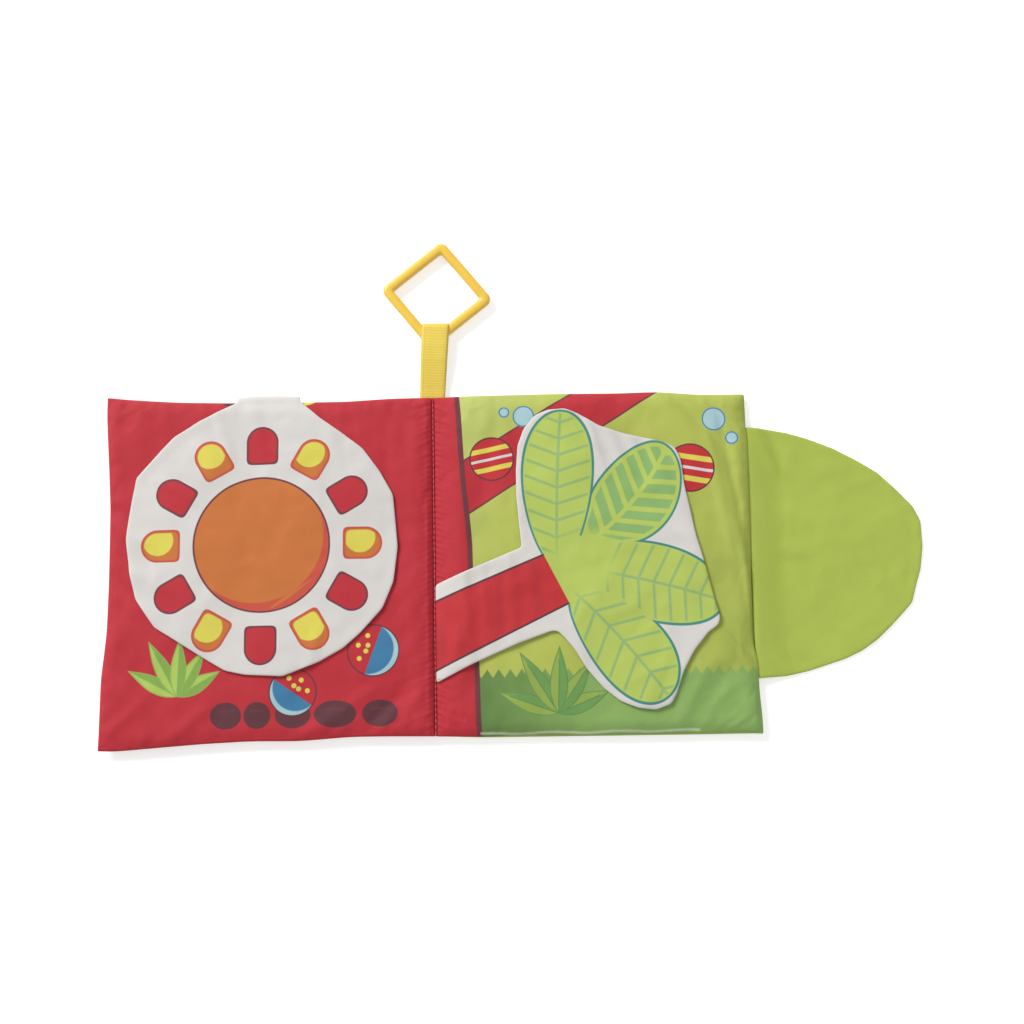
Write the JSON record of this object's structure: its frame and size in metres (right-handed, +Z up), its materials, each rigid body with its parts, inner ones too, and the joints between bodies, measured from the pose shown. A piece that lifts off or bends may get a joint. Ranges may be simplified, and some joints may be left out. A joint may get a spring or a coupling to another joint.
{
  "type": "cloth book",
  "caption": "Soft padded cloth book lying open on its middle spread, with sewn shaped flaps over and beside the pages and a ribbon loop holding a square plastic ring.",
  "frame": {"origin": "middle of the spine, on the surface that the open book lies on", "axes": "+X towards the right page's fore edge, +Y towards the pages' top edge and the ribbon loop, +Z up out of the open pages"},
  "size_m": [0.3743, 0.2344, 0.0089],
  "materials": {
    "page_red": "printed woven polyester, matt",
    "page_green": "printed woven polyester, matt",
    "grass_green": "printed woven polyester, matt",
    "leaf_green": "printed woven polyester, matt",
    "flap_white": "woven polyester, off-white, matt",
    "maroon_print": "print on woven polyester, matt",
    "orange_print": "print on woven polyester, matt",
    "yellow_print": "print on woven polyester, matt",
    "blue_print": "print on woven polyester, matt",
    "pale_blue_print": "print on woven polyester, matt",
    "teal_print": "print on woven polyester, matt",
    "vein_print": "print on woven polyester, matt",
    "red_thread": "sewing thread",
    "yellow_ribbon": "grosgrain ribbon",
    "ring_plastic": "moulded plastic, satin"
  },
  "bodies": {
    "left_half": {"front_cover": "grass_green", "left_page": "page_red", "sun_flap": "flap_white", "left_tuft": "leaf_green", "pebbles": "maroon_print", "left_balls_blue": "blue_print", "left_balls_red": "page_red", "left_ball_dots": "yellow_print", "sun_outline": "maroon_print", "sun_disc": "orange_print", "sun_ray_outlines": "maroon_print", "sun_rays_red": "page_red", "sun_rays_yellow": "yellow_print"},
    "spine": {"spine_strip": "page_red", "spine_stitches": "red_thread", "ribbon_loop": "yellow_ribbon"},
    "right_half": {"right_page": "page_green", "back_cover": "page_green", "tree_flap": "flap_white", "bush_flap": "page_green", "trunk_band": "page_red", "trunk_line": "maroon_print", "branch": "page_red", "branch_lines": "maroon_print", "grass_band": "grass_green", "right_tuft": "leaf_green", "right_balls_red": "page_red", "right_balls_yellow": "yellow_print", "bubbles": "pale_blue_print", "flap_trunk": "page_red", "flap_trunk_lines": "maroon_print", "leaf_outlines": "teal_print", "leaves": "leaf_green", "leaf_veins": "vein_print"},
    "ring": {"ring": "ring_plastic"}
  },
  "joints": [
    {"name": "front_cover_turn", "type": "hinge", "parent": "spine", "child": "left_half", "pos_m": [-0.003, 0, 0.00625], "axis": [0, 1, 0], "range_deg": [0, 90]},
    {"name": "back_cover_turn", "type": "hinge", "parent": "spine", "child": "right_half", "pos_m": [0.003, 0, 0.00625], "axis": [0, -1, 0], "range_deg": [0, 90]},
    {"name": "ring_swing", "type": "hinge", "parent": "spine", "child": "ring", "pos_m": [0, 0.0893, 0.0015], "axis": [1, 0, 0], "range_deg": [0, 90], "deforming": ["ribbon_loop"]}
  ]
}
